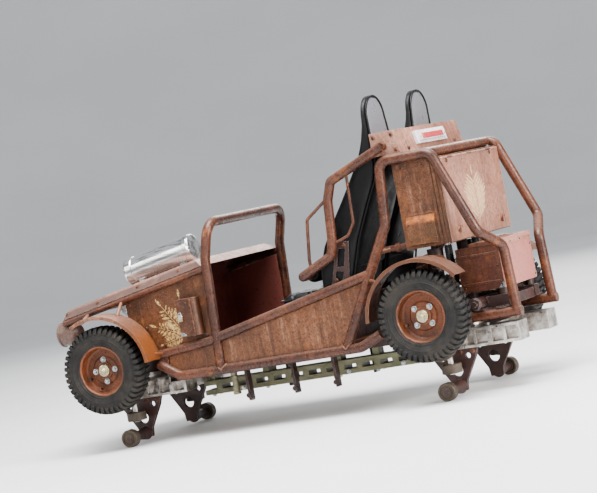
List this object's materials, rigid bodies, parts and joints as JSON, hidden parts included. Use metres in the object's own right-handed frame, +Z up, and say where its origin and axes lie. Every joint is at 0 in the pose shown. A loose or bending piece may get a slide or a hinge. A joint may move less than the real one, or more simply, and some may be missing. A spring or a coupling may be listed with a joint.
{
  "type": "roller coaster car",
  "caption": "Two-seat coaster car styled as a rusty off-road buggy: tube frame, wings, lockers, tall seats, lift-up restraint, railed bogies.",
  "frame": {"origin": "on the floor under the middle of the car, which stands on its up-stop wheels", "axes": "+X forward, +Y to the car's left, +Z up"},
  "size_m": [2.2045, 1.07, 1.3543],
  "materials": {
    "rusted_frame_tube": "rusted, satin",
    "rusted_pale_sheet": "weathered, pale rust",
    "rusted_brown_sheet": "rusted, matt",
    "dark_chassis_paint": "dark red-brown paint, dusty",
    "olive_beam_paint": "olive grey paint",
    "cast_aluminium": "cast, satin",
    "polished_cylinder": "polished",
    "rusted_lamp_bowl": "rusted, streaked",
    "black_seat_shell": "textured black",
    "black_seat_cover": "black vinyl cover",
    "white_lamp": "gloss",
    "tyre_rubber": "dusty black",
    "rusted_rim": "rust orange, satin",
    "rail_wheel_tread": "worn tread"
  },
  "bodies": {
    "car_body": {"chassis_spine": "dark_chassis_paint", "centre_beam": "olive_beam_paint", "floor_pan": "rusted_brown_sheet", "side_frame_left": "rusted_frame_tube", "side_frame_right": "rusted_frame_tube", "windscreen_hoop": "rusted_frame_tube", "roll_cage_left": "rusted_frame_tube", "roll_cage_right": "rusted_frame_tube", "cage_cross_tubes": "rusted_frame_tube", "tail_frame": "dark_chassis_paint", "bonnet": "rusted_pale_sheet", "air_cylinder": "polished_cylinder", "headlamps": "rusted_lamp_bowl", "cowl_side_left": "rusted_brown_sheet", "cowl_side_right": "rusted_brown_sheet", "cowl_box_left": "rusted_brown_sheet", "cowl_box_right": "rusted_brown_sheet", "bulkhead": "rusted_brown_sheet", "side_panels": "rusted_brown_sheet", "front_wings": "rusted_brown_sheet", "rear_wings": "rusted_brown_sheet", "seat_left": "black_seat_shell", "seat_right": "black_seat_shell", "seat_frame": "dark_chassis_paint", "seat_cushion_left": "black_seat_cover", "seat_cushion_right": "black_seat_cover", "top_box": "rusted_pale_sheet", "rear_lamp": "white_lamp", "upper_locker": "rusted_brown_sheet", "lower_box": "rusted_brown_sheet"},
    "restraint": {"restraint_bar": "rusted_frame_tube", "lap_pad": "black_seat_cover"},
    "bogie_front": {"bogie_front": "cast_aluminium", "wheel_carriers_front": "dark_chassis_paint"},
    "bogie_rear": {"bogie_rear": "cast_aluminium", "wheel_carriers_rear": "dark_chassis_paint"},
    "upper_cover": {"upper_locker_cover": "rusted_pale_sheet"},
    "lower_lid": {"lower_box_lid": "rusted_brown_sheet"},
    "door_left": {"cowl_door_left": "rusted_brown_sheet"},
    "door_right": {"cowl_door_right": "rusted_brown_sheet"},
    "running_wheels_front": {"running_axle_front": "rail_wheel_tread"},
    "running_wheels_rear": {"running_axle_rear": "rail_wheel_tread"},
    "road_wheel_front_left": {"tyre_front_left": "tyre_rubber", "rim_front_left": "rusted_rim"},
    "guide_wheel_front_left": {"guide_wheel_front_left": "rail_wheel_tread"},
    "stop_wheel_front_left": {"stop_wheel_front_left": "rail_wheel_tread"},
    "road_wheel_front_right": {"tyre_front_right": "tyre_rubber", "rim_front_right": "rusted_rim"},
    "guide_wheel_front_right": {"guide_wheel_front_right": "rail_wheel_tread"},
    "stop_wheel_front_right": {"stop_wheel_front_right": "rail_wheel_tread"},
    "road_wheel_rear_left": {"tyre_rear_left": "tyre_rubber", "rim_rear_left": "rusted_rim"},
    "guide_wheel_rear_left": {"guide_wheel_rear_left": "rail_wheel_tread"},
    "stop_wheel_rear_left": {"stop_wheel_rear_left": "rail_wheel_tread"},
    "road_wheel_rear_right": {"tyre_rear_right": "tyre_rubber", "rim_rear_right": "rusted_rim"},
    "guide_wheel_rear_right": {"guide_wheel_rear_right": "rail_wheel_tread"},
    "stop_wheel_rear_right": {"stop_wheel_rear_right": "rail_wheel_tread"}
  },
  "joints": [
    {"name": "front_bogie_turn", "type": "hinge", "parent": "car_body", "child": "bogie_front", "pos_m": [0.822, 0, 0.3], "axis": [0, 0, 1], "range_deg": [-4, 4]},
    {"name": "rear_bogie_turn", "type": "hinge", "parent": "car_body", "child": "bogie_rear", "pos_m": [-0.758, 0, 0.3], "axis": [0, 0, 1], "range_deg": [-4, 4]},
    {"name": "running_wheels_front_spin", "type": "hinge", "parent": "bogie_front", "child": "running_wheels_front", "pos_m": [0.822, 0, 0.253], "axis": [0, 1, 0], "continuous": true},
    {"name": "road_wheel_front_left_spin", "type": "hinge", "parent": "bogie_front", "child": "road_wheel_front_left", "pos_m": [0.822, 0.475, 0.372], "axis": [0, 1, 0], "continuous": true},
    {"name": "guide_wheel_front_left_spin", "type": "hinge", "parent": "bogie_front", "child": "guide_wheel_front_left", "pos_m": [0.822, 0.29, 0.128], "axis": [0, 0, 1], "continuous": true},
    {"name": "stop_wheel_front_left_spin", "type": "hinge", "parent": "bogie_front", "child": "stop_wheel_front_left", "pos_m": [0.822, 0.38, 0.04], "axis": [0, 1, 0], "continuous": true},
    {"name": "road_wheel_front_right_spin", "type": "hinge", "parent": "bogie_front", "child": "road_wheel_front_right", "pos_m": [0.822, -0.475, 0.372], "axis": [0, 1, 0], "continuous": true},
    {"name": "guide_wheel_front_right_spin", "type": "hinge", "parent": "bogie_front", "child": "guide_wheel_front_right", "pos_m": [0.822, -0.29, 0.128], "axis": [0, 0, 1], "continuous": true},
    {"name": "stop_wheel_front_right_spin", "type": "hinge", "parent": "bogie_front", "child": "stop_wheel_front_right", "pos_m": [0.822, -0.38, 0.04], "axis": [0, 1, 0], "continuous": true},
    {"name": "running_wheels_rear_spin", "type": "hinge", "parent": "bogie_rear", "child": "running_wheels_rear", "pos_m": [-0.758, 0, 0.253], "axis": [0, 1, 0], "continuous": true},
    {"name": "road_wheel_rear_left_spin", "type": "hinge", "parent": "bogie_rear", "child": "road_wheel_rear_left", "pos_m": [-0.758, 0.475, 0.385], "axis": [0, 1, 0], "continuous": true},
    {"name": "guide_wheel_rear_left_spin", "type": "hinge", "parent": "bogie_rear", "child": "guide_wheel_rear_left", "pos_m": [-0.758, 0.29, 0.128], "axis": [0, 0, 1], "continuous": true},
    {"name": "stop_wheel_rear_left_spin", "type": "hinge", "parent": "bogie_rear", "child": "stop_wheel_rear_left", "pos_m": [-0.758, 0.38, 0.04], "axis": [0, 1, 0], "continuous": true},
    {"name": "road_wheel_rear_right_spin", "type": "hinge", "parent": "bogie_rear", "child": "road_wheel_rear_right", "pos_m": [-0.758, -0.475, 0.385], "axis": [0, 1, 0], "continuous": true},
    {"name": "guide_wheel_rear_right_spin", "type": "hinge", "parent": "bogie_rear", "child": "guide_wheel_rear_right", "pos_m": [-0.758, -0.29, 0.128], "axis": [0, 0, 1], "continuous": true},
    {"name": "stop_wheel_rear_right_spin", "type": "hinge", "parent": "bogie_rear", "child": "stop_wheel_rear_right", "pos_m": [-0.758, -0.38, 0.04], "axis": [0, 1, 0], "continuous": true},
    {"name": "restraint_lift", "type": "hinge", "parent": "car_body", "child": "restraint", "pos_m": [-0.671, 0, 1.122], "axis": [0, -1, 0], "range_deg": [0, 75]},
    {"name": "door_left_open", "type": "hinge", "parent": "car_body", "child": "door_left", "pos_m": [0.368, 0.4273, 0.54], "axis": [0, 0, 1], "range_deg": [0, 100]},
    {"name": "door_right_open", "type": "hinge", "parent": "car_body", "child": "door_right", "pos_m": [0.368, -0.4273, 0.54], "axis": [0, 0, -1], "range_deg": [0, 100]},
    {"name": "upper_cover_lift", "type": "hinge", "parent": "car_body", "child": "upper_cover", "pos_m": [-0.904, 0, 1.027], "axis": [0, 1, 0], "range_deg": [0, 100]},
    {"name": "lower_lid_lift", "type": "hinge", "parent": "car_body", "child": "lower_lid", "pos_m": [-0.906, 0, 0.629], "axis": [0, 1, 0], "range_deg": [0, 75]}
  ]
}
